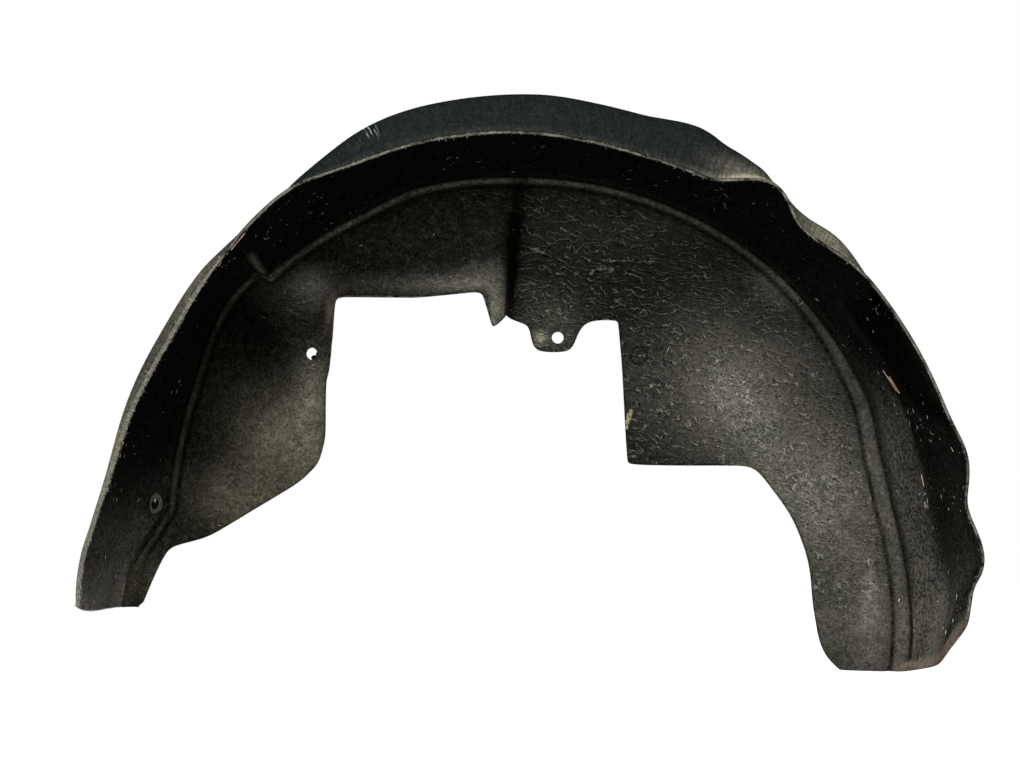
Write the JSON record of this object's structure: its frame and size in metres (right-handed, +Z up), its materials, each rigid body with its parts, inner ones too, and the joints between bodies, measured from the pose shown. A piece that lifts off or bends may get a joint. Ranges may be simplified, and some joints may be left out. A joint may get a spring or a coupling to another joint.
{
  "type": "wheel arch liner",
  "caption": "Moulded felt liner for a rear wheel arch: outboard lip, roof, beaded corner and an inboard wall with a square cut-out, a fixing tab and holes.",
  "frame": {"origin": "centre of the fixing tab's hole, on the wheel side of the felt", "axes": "+X along the length of the arch, +Y inboard along the wheel axis and through the tab's hole, +Z up, as fitted to the car; the wheel axis runs along Y at x = -0.036 m, z = -0.225 m"},
  "size_m": [0.8304, 0.2336, 0.55],
  "materials": {
    "felt": "matt pressed needle felt, dark grey"
  },
  "bodies": {
    "root": {"liner": "felt"}
  },
  "joints": []
}
